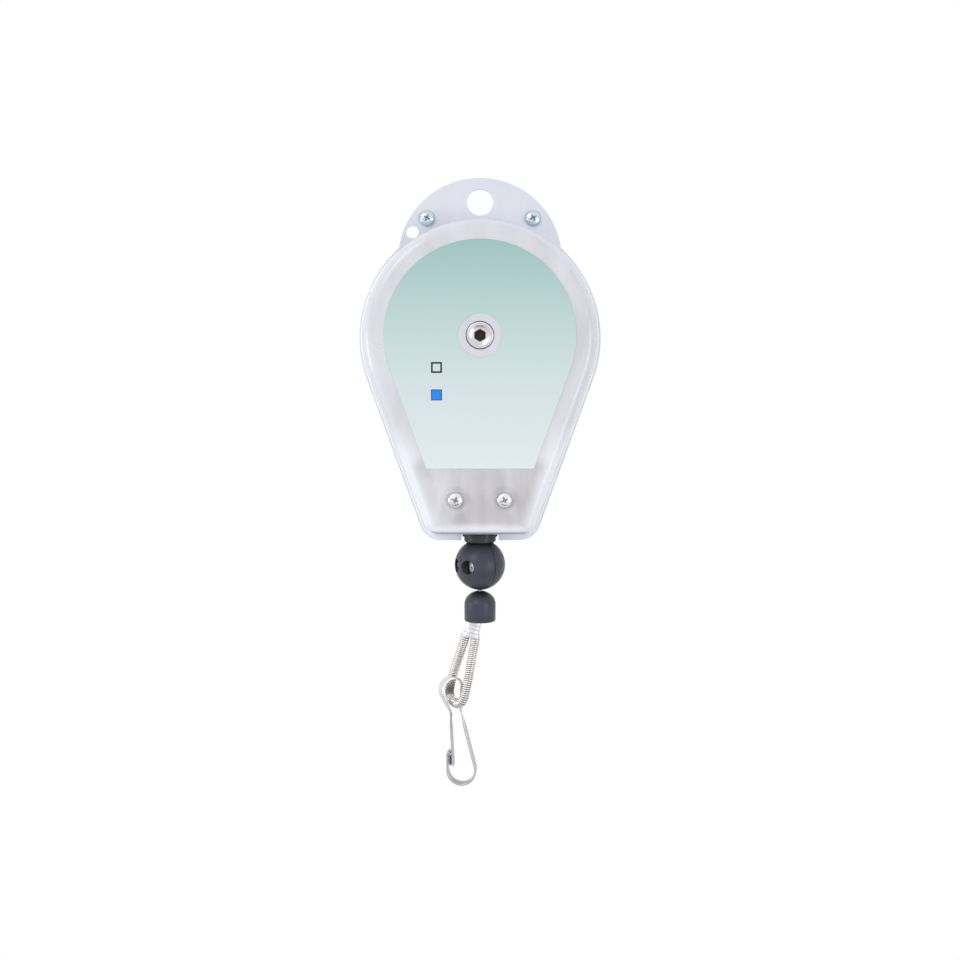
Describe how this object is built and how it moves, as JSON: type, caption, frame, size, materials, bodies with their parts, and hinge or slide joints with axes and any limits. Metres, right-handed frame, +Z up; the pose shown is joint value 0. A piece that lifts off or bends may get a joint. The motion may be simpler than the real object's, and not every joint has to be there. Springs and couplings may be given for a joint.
{
  "type": "tool balancer",
  "caption": "Spring balancer that carries a hand tool: sheet-metal housing with a hanging ear, a spring drum inside, and a wire rope with a stop ball, a ferrule loop and a snap hook.",
  "frame": {"origin": "middle of the hanging hole, in the plane where the two covers meet", "axes": "+Z up, against the pull of the rope; the face with the label looks along -Y; +X is to the right of someone who looks at that face"},
  "size_m": [0.1326, 0.0495, 0.3324],
  "materials": {
    "cover": "smooth gloss paint, pale lavender grey",
    "label": "gloss film, pale teal fading to blue white",
    "zinc": "bright zinc plate",
    "steel": "machined",
    "spring_steel": "blued strip",
    "bronze": "sintered",
    "drum": "moulded",
    "rope": "stranded wire",
    "dark_plastic": "moulded, fine grain",
    "aluminium": "pressed",
    "nickel": "bright nickel plate"
  },
  "bodies": {
    "housing": {"front_cover": "cover", "rear_cover": "cover", "label": "label", "ear_screws": "zinc", "ear_nuts": "zinc", "tie_screws": "zinc", "tie_nuts": "zinc", "tie_spacers": "steel", "front_bush": "bronze", "rear_bush": "bronze", "click_pawl": "spring_steel", "pawl_rivets": "steel", "rope_guide": "dark_plastic"},
    "arbor": {"main_shaft": "steel", "adjuster_cap": "zinc", "cap_pins": "steel", "thrust_washers": "zinc", "retaining_ring": "spring_steel", "ratchet_wheel": "steel"},
    "drum": {"rope_drum": "drum", "drum_cover": "drum", "drum_cover_screws": "zinc", "drum_bushes": "bronze", "spring_post": "steel", "mainspring": "spring_steel", "rope_coil": "rope", "rope_anchor": "aluminium"},
    "rope_stop": {"stop_ball_front": "dark_plastic", "stop_ball_rear": "dark_plastic", "ball_screws": "zinc", "bell_cap": "dark_plastic", "ferrule": "aluminium", "rope_lead": "rope", "rope_loop": "rope", "loop_sleeve": "nickel"},
    "hook": {"snap_hook": "nickel"},
    "gate": {"hook_gate": "nickel"}
  },
  "joints": [
    {"name": "rope_pull", "type": "slide", "parent": "housing", "child": "rope_stop", "axis": [0, 0, -1], "range_m": [0, 1.3], "stiffness_N_per_m": 15, "springref_m": -2, "deforming": ["rope_lead"]},
    {"name": "drum_spin", "type": "hinge", "parent": "housing", "child": "drum", "pos_m": [0, 0, -0.074], "axis": [0, 1, 0], "range_deg": [0, 1611], "deforming": ["mainspring"]},
    {"name": "adjuster_turn", "type": "hinge", "parent": "housing", "child": "arbor", "pos_m": [0, 0, -0.074], "axis": [0, -1, 0], "range_deg": [0, 1800], "deforming": ["click_pawl"]},
    {"name": "hook_swing", "type": "hinge", "parent": "rope_stop", "child": "hook", "pos_m": [-0.01403, 0, -0.2741], "axis": [0.2419, -0.9703, 0], "range_deg": [-25, 25]},
    {"name": "gate_flex", "type": "hinge", "parent": "hook", "child": "gate", "pos_m": [-0.01611, -0.00052, -0.2796], "axis": [0.2419, -0.9703, 0], "range_deg": [0, 18], "stiffness_Nm_per_rad": 0.2, "springref_deg": -11.46}
  ],
  "couplings": [
    {"joint": "drum_spin", "follows": "rope_pull", "rad_per_m": 21.617}
  ]
}
